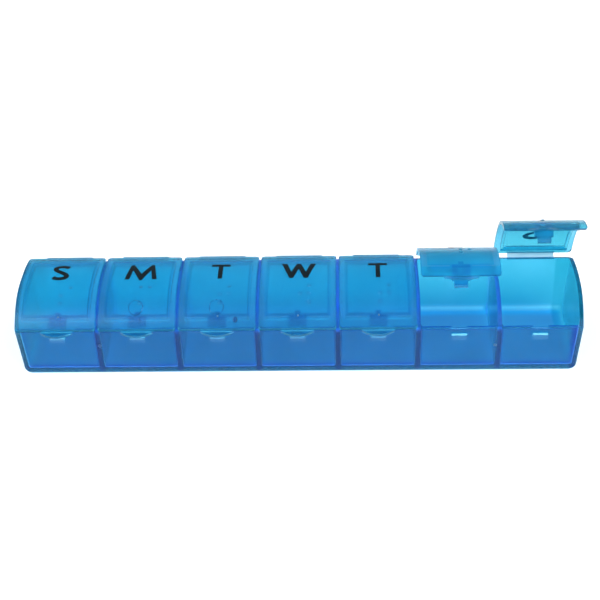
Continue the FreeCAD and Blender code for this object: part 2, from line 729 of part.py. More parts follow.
def make_letter(index):
    """A printed letter: where its outline, seen from above, meets a film over the lid."""
    name, letter, _, _ = DAYS[index]
    label = name.capitalize()
    plan = loose_sketch(f"LetterPlan{label}", Rotation())
    add_outline(plan, letter_s_outline() if letter == "S" else letter_outline(letter))
    side_view = Rotation(Vector(0, 1, 0), Vector(0, 0, 1), Vector(1, 0, 0), "ZXY")
    film = loose_sketch(f"LetterFilm{label}", side_view)
    arched_band(film, "(Dims.letter_front - 2)", "(Dims.letter_back + 2)", "Dims.ink", "0", False)
    print_solid = document.addObject("Part::Common", f"Letter{label}")
    print_solid.Label = f"letter_{name}"
    print_solid.Base = extrusion(f"LetterColumn{label}", plan, Vector(0, 0, 1), "Dims.crest_height * 4")
    print_solid.Tool = extrusion(f"LetterSheet{label}", film, Vector(1, 0, 0), "Dims.pitch")
    print_solid.Placement = lid_placement(index)
    return print_solid


def check_document():
    """Stops if any object failed to compute."""
    for item in document.Objects:
        if "Invalid" in item.State or "Error" in item.State:
            raise RuntimeError(f"{item.Name}: {item.State}")


def check_part(part):
    """Stops unless a sub-part is one valid solid with some volume."""
    shape = part.Shape
    if shape.isNull() or not shape.isValid() or shape.Volume <= 0:
        raise RuntimeError(f"{part.Label} has no valid shape")
    if len(shape.Solids) != 1:
        raise RuntimeError(f"{part.Label} is {len(shape.Solids)} solids")


fill_dimensions()
parts = [make_tray()]
for place in range(len(DAYS)):
    parts += [make_lid(place), make_hinge(place), make_letter(place)]
document.recompute()
check_document()
for part in parts:
    check_part(part)

os.makedirs("parts", exist_ok=True)
for part in parts:
    part.Shape.exportStep(f"parts/{part.Label}.step")
    print(part.Label, round(part.Shape.Volume, 2))
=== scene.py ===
import json
import math

import bmesh
import bpy
from mathutils import Matrix, Vector


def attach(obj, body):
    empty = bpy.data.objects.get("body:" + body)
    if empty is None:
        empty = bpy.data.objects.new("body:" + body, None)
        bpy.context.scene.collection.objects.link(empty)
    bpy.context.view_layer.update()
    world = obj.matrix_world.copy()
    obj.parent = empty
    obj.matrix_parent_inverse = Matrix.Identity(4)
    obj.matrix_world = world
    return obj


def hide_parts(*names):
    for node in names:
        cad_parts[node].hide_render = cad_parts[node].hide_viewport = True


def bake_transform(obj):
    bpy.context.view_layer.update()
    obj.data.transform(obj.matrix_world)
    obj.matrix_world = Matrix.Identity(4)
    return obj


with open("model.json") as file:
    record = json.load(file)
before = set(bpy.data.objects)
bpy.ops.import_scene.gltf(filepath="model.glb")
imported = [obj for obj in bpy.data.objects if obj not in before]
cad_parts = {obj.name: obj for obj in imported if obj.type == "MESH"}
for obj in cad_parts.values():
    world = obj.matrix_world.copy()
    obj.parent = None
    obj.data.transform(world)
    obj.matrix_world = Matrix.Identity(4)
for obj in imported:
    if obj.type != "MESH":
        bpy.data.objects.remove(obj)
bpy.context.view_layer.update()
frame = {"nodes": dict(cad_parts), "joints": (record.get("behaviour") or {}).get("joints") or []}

# Lengths are in millimetres unless a comment says otherwise; the scene itself is in metres.
MM = 0.001
DAYS = ("sunday", "monday", "tuesday", "wednesday", "thursday", "friday", "saturday")
LETTERS = "SMTWTFS"

# From the joints of the frame: where each compartment's middle lies along the row, the (y, z) of the
# hinge line, and the degrees that each lid stands open at rest.
JOINTS = {joint["child"].removeprefix("lid_"): joint for joint in frame["joints"]}
MIDDLE = {day: JOINTS[day]["pos_m"][0] / MM for day in DAYS}
PITCH = MIDDLE["monday"] - MIDDLE["sunday"]
HINGE = tuple(place / MM for place in JOINTS["sunday"]["pos_m"][1:])
OPENING = {day: abs(JOINTS[day]["range_deg"][0]) for day in DAYS}

# The arch of a lid: centre (y, z) and radius of its two arcs, and the y where they meet.
JOIN_ANGLE = math.radians(4.77)
REAR = (1.5, -27.9, 58.4)
FRONT_RADIUS = 24.5
FRONT = (
    REAR[0] - (REAR[2] - FRONT_RADIUS) * math.sin(JOIN_ANGLE),
    REAR[1] + (REAR[2] - FRONT_RADIUS) * math.cos(JOIN_ANGLE),
    FRONT_RADIUS,
)
JOIN = REAR[0] - REAR[2] * math.sin(JOIN_ANGLE)

# Half the width of a lid, to a neighbour and to an end of the row.
LID_HALF = 14.8
LID_HALF_AT_END = 15.9


def arch_height(y, offset=0.0):
    """Height of a closed lid's outer face at y, or of a layer offset outward."""
    centre_y, centre_z, radius = REAR if y > JOIN else FRONT
    return centre_z + math.sqrt((radius + offset) ** 2 - (y - centre_y) ** 2)


def arch_normal(y):
    """Direction straight out of the arch at y, as (y, z)."""
    centre_y, _, radius = REAR if y > JOIN else FRONT
    sine = (y - centre_y) / radius
    return sine, math.sqrt(1 - sine ** 2)


def opened(y, z, degrees):
    """A point of a closed lid, as (y, z), turned about the hinge line."""
    turn = math.radians(degrees)
    arm_y, arm_z = y - HINGE[0], z - HINGE[1]
    return (
        HINGE[0] + arm_y * math.cos(turn) + arm_z * math.sin(turn),
        HINGE[1] - arm_y * math.sin(turn) + arm_z * math.cos(turn),
    )


def on_lid(day, x, y, offset=0.0):
    """A point on a lid's outer face as it stands, in metres, from its place on the closed lid."""
    normal_y, normal_z = arch_normal(y)
    closed_y, closed_z = y + normal_y * offset, arch_height(y) + normal_z * offset
    turned_y, turned_z = opened(closed_y, closed_z, OPENING[day])
    return Vector(((MIDDLE[day] + x) * MM, turned_y * MM, turned_z * MM))


def lid_span(day):
    """Middle and half width of a lid, from the middle of its compartment."""
    left = LID_HALF_AT_END if day == "sunday" else LID_HALF
    right = LID_HALF_AT_END if day == "saturday" else LID_HALF
    return (right - left) / 2, (right + left) / 2


def piece(name, bm, material, body):
    """Makes an object from a bmesh, and lets it ride on a body if one is named."""
    bmesh.ops.recalc_face_normals(bm, faces=bm.faces)
    mesh = bpy.data.meshes.new(name)
    bm.to_mesh(mesh)
    bm.free()
    mesh.materials.append(material)
    obj = bpy.data.objects.new(name, mesh)
    bpy.context.scene.collection.objects.link(obj)
    if body:
        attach(obj, body)
    return obj


# ---------------------------------------------------------------- shader nodes

def nodes_of(name):
    """A new material with its tree, its shader and its output."""
    material = bpy.data.materials.new(name)
    material.use_nodes = True
    tree = material.node_tree
    return material, tree, tree.nodes["Principled BSDF"], tree.nodes["Material Output"]


def noise(tree, scale, detail=3.0, roughness=0.5, stretch=(1, 1, 1)):
    """Noise that sticks to the part; scale counts cells in a metre."""
    coordinates = tree.nodes.new("ShaderNodeTexCoord")
    mapping = tree.nodes.new("ShaderNodeMapping")
    mapping.inputs["Scale"].default_value = stretch
    texture = tree.nodes.new("ShaderNodeTexNoise")
    texture.inputs["Scale"].default_value = scale
    texture.inputs["Detail"].default_value = detail
    texture.inputs["Roughness"].default_value = roughness
    tree.links.new(coordinates.outputs["Object"], mapping.inputs["Vector"])
    tree.links.new(mapping.outputs["Vector"], texture.inputs["Vector"])
    return texture.outputs["Fac"]


def spread(tree, value, low, high, start=0.3, end=0.7):
    """Maps a value between start and end to a range; the defaults suit a noise."""
    node = tree.nodes.new("ShaderNodeMapRange")
    node.inputs["From Min"].default_value = start
    node.inputs["From Max"].default_value = end
    node.inputs["To Min"].default_value = low
    node.inputs["To Max"].default_value = high
    tree.links.new(value, node.inputs["Value"])
    return node.outputs["Result"]


def two_tone(tree, value, dark, light, start=0.35, end=0.65):
    """A colour between two, by a value."""
    ramp = tree.nodes.new("ShaderNodeValToRGB")
    ramp.color_ramp.elements[0].position = start
    ramp.color_ramp.elements[1].position = end
    ramp.color_ramp.elements[0].color = (*dark, 1)
    ramp.color_ramp.elements[1].color = (*light, 1)
    tree.links.new(value, ramp.inputs["Fac"])
    return ramp.outputs["Color"]


def blended(tree, colour, other, amount):
    """One colour turning into another where amount is 1."""
    mix = tree.nodes.new("ShaderNodeMix")
    mix.data_type = "RGBA"
    mix.inputs[7].default_value = (*other, 1)
    tree.links.new(amount, mix.inputs[0])
    tree.links.new(colour, mix.inputs[6])
    return mix.outputs[2]


def bump(tree, shader, value, strength, distance):
    """Fine relief; distance is in metres."""
    node = tree.nodes.new("ShaderNodeBump")
    node.inputs["Strength"].default_value = strength
    node.inputs["Distance"].default_value = distance
    tree.links.new(value, node.inputs["Height"])
    tree.links.new(node.outputs["Normal"], shader.inputs["Normal"])


def clear_to_lamps(tree, shader, output, tint):
    """Lets lamp light through to what is behind, tinted."""
    mix = tree.nodes.new("ShaderNodeMixShader")
    path = tree.nodes.new("ShaderNodeLightPath")
    clear = tree.nodes.new("ShaderNodeBsdfTransparent")
    clear.inputs["Color"].default_value = (*tint, 1)
    tree.links.new(path.outputs["Is Shadow Ray"], mix.inputs[0])
    tree.links.new(shader.outputs["BSDF"], mix.inputs[1])
    tree.links.new(clear.outputs["BSDF"], mix.inputs[2])
    tree.links.new(mix.outputs["Shader"], output.inputs["Surface"])


def calculate(tree, operation, first, second=None, third=None):
    """One step of arithmetic on sockets and numbers."""
    node = tree.nodes.new("ShaderNodeMath")
    node.operation = operation
    for socket, value in zip(node.inputs, (first, second, third)):
        if isinstance(value, (int, float)):
            socket.default_value = value
        elif value is not None:
            tree.links.new(value, socket)
    return node.outputs["Value"]


def product(tree, *values):
    """All the values multiplied."""
    result = values[0]
    for value in values[1:]:
        result = calculate(tree, "MULTIPLY", result, value)
    return result


def highest(tree, *values):
    """The largest of the values."""
    result = values[0]
    for value in values[1:]:
        result = calculate(tree, "MAXIMUM", result, value)
    return result


def rising(tree, value, start, end, low=0.0, high=1.0):
    """low before start, high after end."""
    return spread(tree, value, low, high, start * MM, end * MM)


def falling(tree, value, start, end, high=1.0, low=0.0):
    """high before start, low after end."""
    return spread(tree, value, high, low, start * MM, end * MM)


def band(tree, value, start, end, soft=0.12):
    """1 between start and end, falling off over twice soft."""
    above = rising(tree, value, start - soft, start + soft)
    return product(tree, above, falling(tree, value, end - soft, end + soft))


def within(tree, value, limit, soft=0.12):
    """1 up to a limit, falling off over twice soft."""
    return falling(tree, value, limit - soft, limit + soft)


def distance(tree, value, place=0.0):
    """How far a value is from a place."""
    return calculate(tree, "ABSOLUTE", calculate(tree, "SUBTRACT", value, place * MM))


def distance_in_row(tree, x, first):
    """How far a point is along the row from the nearest of the places that lie one pitch apart."""
    shifted = calculate(tree, "ADD", x, first * MM)
    return calculate(tree, "PINGPONG", shifted, PITCH / 2 * MM)


def position(tree):
    """x, y and z of a point where the part stands at rest, in metres."""
    coordinates = tree.nodes.new("ShaderNodeTexCoord")
    split = tree.nodes.new("ShaderNodeSeparateXYZ")
    tree.links.new(coordinates.outputs["Object"], split.inputs["Vector"])
    return split.outputs


def position_on_lid(tree, day):
    """x from the middle of a lid's compartment, and y and z as if the lid were closed, in metres."""
    turn = math.radians(OPENING[day])
    hinge = Vector((0, HINGE[0] * MM, HINGE[1] * MM))
    back = Matrix.Rotation(turn, 3, "X")
    coordinates = tree.nodes.new("ShaderNodeTexCoord")
    closing = tree.nodes.new("ShaderNodeMapping")
    closing.inputs["Rotation"].default_value = (turn, 0, 0)
    closing.inputs["Location"].default_value = hinge - back @ hinge - Vector((MIDDLE[day] * MM, 0, 0))
    split = tree.nodes.new("ShaderNodeSeparateXYZ")
    tree.links.new(coordinates.outputs["Object"], closing.inputs["Vector"])
    tree.links.new(closing.outputs["Vector"], split.inputs["Vector"])
    return split.outputs


# ---------------------------------------------------------------- where the tray is thick, and where light and shade are painted on it

# A catch's bright line, a painted highlight, and its paler patch, also painted light, lie in these ranges of
# z plus CATCH_SLOPE times y.
CATCH_HALF = 2.88
CATCH_SLOPE = 0.53
CATCH_LINE_OPEN = (7.4, 8.3)
CATCH_LINE_SHUT = (6.6, 7.6)
CATCH_PATCH = (4.9, 7.3)
# Where the masks of the tray rise or fall: along the row, from front to back, and upward.
TRAY_ALONG = {
    "divider": (0.612, 1.04), "beside_divider": (0.918, 1.836), "last_divider": (95, 96),
    "left_to_right": (-90, 90), "first_open": (45.5, 46.3), "back_cove": (12.24, 13.77),
    "end_wall": (101.0, 102.2), "corner": (102.6, 104.6), "end_light": (105.6, 106.4),
}
TRAY_DEEP = {
    "front_wall": (-18.2, -16.8), "behind_front_wall": (-17.5, -16.5), "floor": (-16.5, 15.0),
    "back_cove": (15.0, 17.8), "back_wall": (16.8, 18.2),
}
TRAY_UP = {
    "foot": (0.3, 0.7), "foot_light": (0.8, 1.6), "floor": (1.6, 1.9), "front_cove": (2.4, 4.2),
    "back_cove": (2.4, 3.6), "over_back_cove": (3.6, 4.6), "back_wall": (6, 23), "rim": (20.3, 20.6),
}
# How much some parts count in their mask, where 1 is fully.
TRAY_AMOUNT = {
    "beside_divider": 0.5, "left_corner": 0.3, "rim": 0.6, "front_cove": 0.9, "foot": 0.6,
    "floor": 0.7, "high_on_back": 0.1, "catch_patch": 0.20, "end_light": 0.42, "foot_light": 0.6,
}


def in_front_wall(tree, y):
    """1 in the front wall, 0 behind it."""
    return falling(tree, y, *TRAY_DEEP["front_wall"])


def tray_thick_parts(tree):
    """1 where one looks along a wall: at the dividers, corners, rim, cove and foot of the front wall."""
    x, y, z = position(tree)
    front = in_front_wall(tree, y)
    from_middle = distance(tree, x)
    to_divider = distance_in_row(tree, x, PITCH / 2)
    stripe = falling(tree, to_divider, *TRAY_ALONG["divider"])
    beside = falling(tree, to_divider, *TRAY_ALONG["beside_divider"], TRAY_AMOUNT["beside_divider"])
    dividers = highest(tree, stripe, product(tree, beside, front))
    dividers = product(tree, dividers, falling(tree, from_middle, *TRAY_ALONG["last_divider"]))
    corners = product(tree, rising(tree, from_middle, *TRAY_ALONG["corner"]), front)
    to_right = rising(tree, x, *TRAY_ALONG["left_to_right"], TRAY_AMOUNT["left_corner"])
    corners = product(tree, corners, to_right)
    rim = product(tree, rising(tree, z, *TRAY_UP["rim"]), front, TRAY_AMOUNT["rim"])
    cove = product(tree, band(tree, z, *TRAY_UP["front_cove"], 0.4), front, TRAY_AMOUNT["front_cove"])
    foot = product(tree, falling(tree, z, *TRAY_UP["foot"], TRAY_AMOUNT["foot"]), front)
    return highest(tree, dividers, corners, rim, cove, foot)


def tray_painted_light(tree):
    """1 where light is painted: a paler blue stands for the light that a catch, the cove behind an open
    floor, an end or the foot of the front wall gathers.
    """
    x, y, z = position(tree)
    front = in_front_wall(tree, y)
    to_middle = distance_in_row(tree, x, 0)
    lid_open = rising(tree, x, *TRAY_ALONG["first_open"])
    lid_shut = calculate(tree, "SUBTRACT", 1.0, lid_open)
    ledge = calculate(tree, "MULTIPLY_ADD", y, CATCH_SLOPE, z)
    line = highest(
        tree,
        product(tree, band(tree, ledge, *CATCH_LINE_OPEN), lid_open),
        product(tree, band(tree, ledge, *CATCH_LINE_SHUT), lid_shut),
    )
    patch = product(tree, band(tree, ledge, *CATCH_PATCH), TRAY_AMOUNT["catch_patch"])
    catch = product(tree, within(tree, to_middle, CATCH_HALF), front, highest(tree, line, patch))
    cove = product(
        tree,
        band(tree, z, *TRAY_UP["back_cove"], 0.5),
        band(tree, y, *TRAY_DEEP["back_cove"]),
        lid_open,
        falling(tree, to_middle, *TRAY_ALONG["back_cove"]),
    )
    at_end = rising(tree, distance(tree, x), *TRAY_ALONG["end_light"])
    ends = product(tree, at_end, front, TRAY_AMOUNT["end_light"])
    foot = product(tree, falling(tree, z, *TRAY_UP["foot_light"]), front, TRAY_AMOUNT["foot_light"])
    return highest(tree, catch, cove, ends, foot)


def tray_floor_shade(tree):
    """1 on the floor of the compartments, where a duller blue is painted as shade."""
    _, y, z = position(tree)
    low = falling(tree, z, *TRAY_UP["floor"], TRAY_AMOUNT["floor"])
    return product(tree, low, band(tree, y, *TRAY_DEEP["floor"], 0.6))


def tray_painted_shade(tree):
    """1 where shade is painted, as little light falls there: low on the back wall and on the end walls,
    inside.
    """
    x, y, z = position(tree)
    low = falling(tree, z, *TRAY_UP["back_wall"], 1.0, TRAY_AMOUNT["high_on_back"])
    over_cove = rising(tree, z, *TRAY_UP["over_back_cove"])
    back = product(tree, rising(tree, y, *TRAY_DEEP["back_wall"]), low, over_cove)
    at_end = rising(tree, distance(tree, x), *TRAY_ALONG["end_wall"])
    ends = product(tree, at_end, rising(tree, y, *TRAY_DEEP["behind_front_wall"]))
    return highest(tree, back, ends)


# ---------------------------------------------------------------- where a lid is thick, and where light is painted on it

TONGUE_SHIFT = {"sunday": 0.55, "monday": 0.35}
USUAL_TONGUE_SHIFT = 0.1
# Where the masks of a lid rise or fall: inward from its sides, from front to back, and upward.
LID_INSET = {
    "side": (0.4, 0.1), "rib_side": (3.3, 2.7), "rib_line": (2.4, 2.0), "border": (2.4, 0.3),
}
LID_DEEP = {
    "foot": (-20.6, -17.0), "tab": (-20.4, -20.0), "bar": (-17.4, -16.1), "nub": (-16.2, -14.7),
    "rib_side": (-16.0, 15.4), "rib_line": (-16.6, 15.8), "rib_front": (-16.3, -15.8),
    "rib_light": (-16.9, -16.5), "border": (-17.2, -16.5),
}
LID_FOOT_UP = (21.5, 21.8)
TONGUE_BACK = -17.4
# Half widths of the parts round the middle of the tongue.
HALF_WIDTH = {"tab": 6.6, "bar": 3.4, "nub": 1.0, "tongue": 3.3}
BESIDE_TAB = 6.0
# The front of the rib: where its light begins beside the tongue, and how far it ends short of the sides.
RIB_LIGHT_START = 4.2
RIB_INSET = 2.3
RIBS_WHEN_OPEN = 0.4
# How much each part of a lid counts in its mask, where 1 is fully.
LID_AMOUNT = {
    "side": 0.35, "foot": 0.6, "tab": 0.25, "rib_side": 0.30, "rib_line": 0.22, "rib_front": 0.40,
    "bar": 0.70, "nub": 0.65, "tongue": 0.08, "border": 0.8, "rib_light": 0.35,
}


def inset(half, part):
    """The range of a part that lies inward from the sides of a lid, from the lid's middle."""
    return [half - reach for reach in LID_INSET[part]]


def lid_thick_parts(tree, day):
    """1 where one looks along a wall of a lid: its sides and foot, its rib, its tab and its latch tongue."""
    x, y, z = position_on_lid(tree, day)
    middle, half = lid_span(day)
    across = distance(tree, x, middle)
    from_tongue = distance(tree, x, TONGUE_SHIFT.get(day, USUAL_TONGUE_SHIFT))
    parts = {
        "side": (rising(tree, across, *inset(half, "side")),),
        "foot": (
            falling(tree, z, *LID_FOOT_UP),
            band(tree, y, *LID_DEEP["foot"], 0.2),
            rising(tree, from_tongue, BESIDE_TAB, HALF_WIDTH["tab"]),
        ),
        "tab": (falling(tree, y, *LID_DEEP["tab"]), within(tree, from_tongue, HALF_WIDTH["tab"])),
        "bar": (band(tree, y, *LID_DEEP["bar"]), within(tree, from_tongue, HALF_WIDTH["bar"], 0.3)),
        "nub": (band(tree, y, *LID_DEEP["nub"]), within(tree, from_tongue, HALF_WIDTH["nub"])),
        "tongue": (within(tree, y, TONGUE_BACK), within(tree, from_tongue, HALF_WIDTH["tongue"])),
    }
    ribs = {
        "rib_side": (band(tree, across, *inset(half, "rib_side")), band(tree, y, *LID_DEEP["rib_side"])),
        "rib_line": (band(tree, across, *inset(half, "rib_line")), band(tree, y, *LID_DEEP["rib_line"])),
        "rib_front": (band(tree, y, *LID_DEEP["rib_front"]), within(tree, across, half - RIB_INSET)),
    }
    rib = highest(tree, *(product(tree, *masks, LID_AMOUNT[name]) for name, masks in ribs.items()))
    rib = product(tree, rib, RIBS_WHEN_OPEN if OPENING[day] else 1.0)
    return highest(tree, rib, *(product(tree, *masks, LID_AMOUNT[name]) for name, masks in parts.items()))


def lid_painted_light(tree, day):
    """1 along the front of the rib under a lid, where a painted highlight stands for the light that the rib
    catches.
    """
    x, y, _ = position_on_lid(tree, day)
    middle, half = lid_span(day)
    beside_tongue = band(tree, distance(tree, x, middle), RIB_LIGHT_START, half - RIB_INSET)
    return product(tree, band(tree, y, *LID_DEEP["rib_light"]), beside_tongue, LID_AMOUNT["rib_light"])


def lid_border(tree, day):
    """1 on the sides of a lid, outside the rib under it."""
    x, y, _ = position_on_lid(tree, day)
    middle, half = lid_span(day)
    sides = band(tree, distance(tree, x, middle), *inset(half, "border"))
    return product(tree, sides, rising(tree, y, *LID_DEEP["border"]), LID_AMOUNT["border"])


# ---------------------------------------------------------------- materials

POLYPROPYLENE_IOR = 1.3
TRAY_IOR = 1.25
# A pale cyan painted on as light: highlights and paler patches on the tray and the lids.
PAINTED_LIGHT_BLUE = (0.45, 0.94, 1.0)

TRAY_CLEAR = ((0.045, 0.45, 0.67), (0.065, 0.49, 0.72))
TRAY_THICK = (0.055, 0.21, 0.70)
TRAY_LAMP_TINT = (0.22, 0.66, 0.83)
TRAY_SATIN = (0.17, 0.23)
# A duller blue painted as shade on the floors of the compartments.
FLOOR_SHADE_BLUE = (0.12, 0.38, 0.54)
# Painted shade low on the back wall and on the end walls inside: a deeper blue, its amount, and a bluer sheen
# in place of the full one.
PAINTED_SHADE_BLUE = (0.008, 0.33, 0.50)
PAINTED_SHADE_AMOUNT = 0.6
FULL_SHEEN = (1.0, 1.0, 1.0)
PAINTED_SHADE_SHEEN = (0.0, 0.60, 0.95)

LID_CLEAR = ((0.062, 0.58, 0.79), (0.085, 0.62, 0.83))
LID_THICK = (0.03, 0.24, 0.56)
LID_BORDER = (0.17, 0.60, 0.82)
LID_LAMP_TINT = (0.29, 0.75, 0.89)
LID_SATIN = {"friday": (0.30, 0.36)}
USUAL_LID_SATIN = (0.21, 0.27)
# Each lid's factors of red, green and blue. The extra red of Tuesday, Wednesday and Thursday is painted
# light, which makes the middle lids paler where the lamps at the sides leave them darker.
LID_TONE_AND_LIGHT = {
    "sunday": (1.0, 1.0, 1.0), "monday": (1.0, 1.02, 1.02), "tuesday": (1.3, 1.0, 1.0),
    "wednesday": (1.35, 1.03, 1.02), "thursday": (1.3, 1.03, 1.02), "friday": (1.0, 1.0, 1.0),
    "saturday": (1.1, 0.88, 0.86),
}


def tinted(tree, clear, thick, thick_mask, painted_light_mask):
    """Slightly cloudy blue, deeper where the plastic is thick, and paler where light is painted on."""
    cloudy = two_tone(tree, noise(tree, 55, 3.0), *clear)
    return blended(tree, blended(tree, cloudy, thick, thick_mask), PAINTED_LIGHT_BLUE, painted_light_mask)


def moulded_finish(tree, shader, output, satin_range, ior, lamp_tint):
    """Satin moulded polypropylene that light goes through, with a faint grain."""
    satin = noise(tree, 420, 4.0, 0.6, (1, 1, 2.5))
    tree.links.new(spread(tree, satin, *satin_range), shader.inputs["Roughness"])
    shader.inputs["IOR"].default_value = ior
    shader.inputs["Transmission Weight"].default_value = 0.93
    bump(tree, shader, noise(tree, 1500, 2.0), 0.05, 0.00004)
    clear_to_lamps(tree, shader, output, lamp_tint)


def lid_plastic(day):
    """The blue of one lid."""
    material, tree, shader, output = nodes_of(f"blue_polypropylene_{day}")
    # Each lid's factors of colour; the extra red of the middle lids is painted light.
    clear = [tuple(part * factor for part, factor in zip(colour, LID_TONE_AND_LIGHT[day])) for colour in LID_CLEAR]
    # Painted light along the front of the rib.
    colour = tinted(tree, clear, LID_THICK, lid_thick_parts(tree, day), lid_painted_light(tree, day))
    colour = blended(tree, colour, LID_BORDER, lid_border(tree, day))
    tree.links.new(colour, shader.inputs["Base Color"])
    satin_range = LID_SATIN.get(day, USUAL_LID_SATIN)
    moulded_finish(tree, shader, output, satin_range, POLYPROPYLENE_IOR, LID_LAMP_TINT)
    return material


def tray_plastic():
    """The blue of the tray, with painted shade on its floor, and painted shade with less sheen in the parts
    where little light falls.
    """
    material, tree, shader, output = nodes_of("blue_polypropylene_tray")
    painted_shade_mask = tray_painted_shade(tree)
    # Painted light: a paler blue where the catches, the back cove, the ends and the foot of the front wall
    # catch light.
    colour = tinted(tree, TRAY_CLEAR, TRAY_THICK, tray_thick_parts(tree), tray_painted_light(tree))
    # Painted shade: a duller blue on the floors of the compartments.
    colour = blended(tree, colour, FLOOR_SHADE_BLUE, tray_floor_shade(tree))
    # Painted shade: a deeper blue low on the back wall and on the end walls inside.
    colour = blended(tree, colour, PAINTED_SHADE_BLUE, product(tree, painted_shade_mask, PAINTED_SHADE_AMOUNT))
    tree.links.new(colour, shader.inputs["Base Color"])
    # Painted shade on the sheen: bluer and weaker there.
    sheen = two_tone(tree, painted_shade_mask, FULL_SHEEN, PAINTED_SHADE_SHEEN, 0.0, 1.0)
    tree.links.new(sheen, shader.inputs["Specular Tint"])
    moulded_finish(tree, shader, output, TRAY_SATIN, TRAY_IOR, TRAY_LAMP_TINT)
    return material


def flexed_plastic():
    """The thin web of a living hinge, whitened by bending, with faint streaks along the fold."""
    material, tree, shader, output = nodes_of("flexed_polypropylene")
    streaks = noise(tree, 900, 3.0, 0.6, (0.08, 1, 1))
    colour = two_tone(tree, streaks, (0.22, 0.47, 0.60), (0.44, 0.62, 0.70))
    tree.links.new(colour, shader.inputs["Base Color"])
    tree.links.new(spread(tree, streaks, 0.28, 0.40), shader.inputs["Roughness"])
    shader.inputs["IOR"].default_value = POLYPROPYLENE_IOR
    shader.inputs["Transmission Weight"].default_value = 0.85
    bump(tree, shader, streaks, 0.3, 0.00003)
    clear_to_lamps(tree, shader, output, (0.75, 0.9, 0.96))
    return material


def ink_print():
    """Pad-printed black ink: nearly matt, a little uneven."""
    material, tree, shader, _ = nodes_of("black_ink")
    patchy = noise(tree, 700, 4.0, 0.6)
    colour = two_tone(tree, patchy, (0.004, 0.011, 0.015), (0.010, 0.019, 0.025))
    tree.links.new(colour, shader.inputs["Base Color"])
    fine = noise(tree, 3000, 2.0)
    tree.links.new(spread(tree, fine, 0.35, 0.55), shader.inputs["Roughness"])
    shader.inputs["Specular IOR Level"].default_value = 0.15
    bump(tree, shader, fine, 0.2, 0.00002)
    return material


def mark_plastic():
    """Deeper blue of a small raised mark, uneven like the moulding round it."""
    material, tree, shader, output = nodes_of("blue_mark")
    uneven = noise(tree, 800, 3.0)
    colour = two_tone(tree, uneven, (0.015, 0.15, 0.40), (0.03, 0.20, 0.48))
    tree.links.new(colour, shader.inputs["Base Color"])
    tree.links.new(spread(tree, uneven, 0.2, 0.3), shader.inputs["Roughness"])
    shader.inputs["IOR"].default_value = POLYPROPYLENE_IOR
    shader.inputs["Transmission Weight"].default_value = 0.75
    bump(tree, shader, uneven, 0.2, 0.00003)
    clear_to_lamps(tree, shader, output, (0.5, 0.8, 0.93))
    return material


LID_BLUE = {day: lid_plastic(day) for day in DAYS}
TRAY_BLUE = tray_plastic()
PALE = flexed_plastic()
INK = ink_print()
MARK = mark_plastic()


# ---------------------------------------------------------------- tray and lids

SOFT_EDGE = 0.2


def finish_of(name):
    """The material of a node of the CAD model."""
    part, _, day = name.partition("_")
    return {"tray": TRAY_BLUE, "lid": LID_BLUE.get(day), "hinge": PALE, "letter": INK}[part]


def soften_edges(obj):
    """Rounds a moulded part's sharp edges slightly, and fills its inner corners."""
    weld = obj.modifiers.new("weld", "WELD")
    weld.merge_threshold = 2e-6
    flat = obj.modifiers.new("flat", "DECIMATE")
    flat.decimate_type = "DISSOLVE"
    flat.angle_limit = math.radians(1.0)
    rounding = obj.modifiers.new("rounding", "BEVEL")
    rounding.width = SOFT_EDGE * MM
    rounding.segments = 2
    rounding.limit_method = "ANGLE"
    rounding.angle_limit = math.radians(35)
    shading = obj.modifiers.new("shading", "WEIGHTED_NORMAL")
    shading.keep_sharp = True


for name, node in frame["nodes"].items():
    node.data.materials.clear()
    node.data.materials.append(finish_of(name))
for name in ["tray"] + [f"lid_{day}" for day in DAYS]:
    soften_edges(frame["nodes"][name])


# ---------------------------------------------------------------- living hinges

WEB_LENGTH = 3.5
WEB_WALL_END = (19.0, 26.05)
WEB_LID_END = (19.4, 27.0)
WEB_STEPS = 28
WEB_ROOT = 0.25
# Degrees that the web of a closed lid slopes where it joins the lid, and the opening that undoes this.
CLOSED_LIFT = 22
LIFT_GONE_AT = 50
WEB_HALF_WIDTH = 9.15
WEB_HALF_THICK = 0.14
WEB_STRIPS = 12
# How an edge of the web is rounded, as (distance from the edge, share of the half thickness).
WEB_EDGE = ((0.0, 0.0), (0.06, 0.7), (0.2, 1.0))
# How much wider and thicker the web is at its ends, and over how many rings that fades.
FLARE_WIDTH = 0.25
FLARE_THICK = 0.08
FLARE_RINGS = 3.0


def curve(a, b, c, d, t):
    """A point on the cubic curve with these four control points."""
    return a * (1 - t) ** 3 + b * 3 * t * (1 - t) ** 2 + c * 3 * t * t * (1 - t) + d * t ** 3


def web_path(opening):
    """Centre line of a hinge web, as (y, z), from inside the wall to inside the lid's edge.

    A bow is sought whose length is the web's.
    """
    start = Vector(WEB_WALL_END)
    end = Vector(opened(*WEB_LID_END, opening))
    leave = Vector((1.0, 0.0))
    lift = math.radians(CLOSED_LIFT) * max(0.0, 1 - opening / LIFT_GONE_AT) - math.radians(opening)
    reach = Vector((math.cos(lift), math.sin(lift)))
    low, high = 0.05, 6.0
    for _ in range(40):
        handle = (low + high) / 2
        first, second = start + leave * handle, end + reach * handle
        points = [curve(start, first, second, end, i / WEB_STEPS) for i in range(WEB_STEPS + 1)]
        length = sum((b - a).length for a, b in zip(points, points[1:]))
        low, high = (handle, high) if length < WEB_LENGTH else (low, handle)
    return [start - leave * WEB_ROOT] + points + [end - reach * WEB_ROOT]


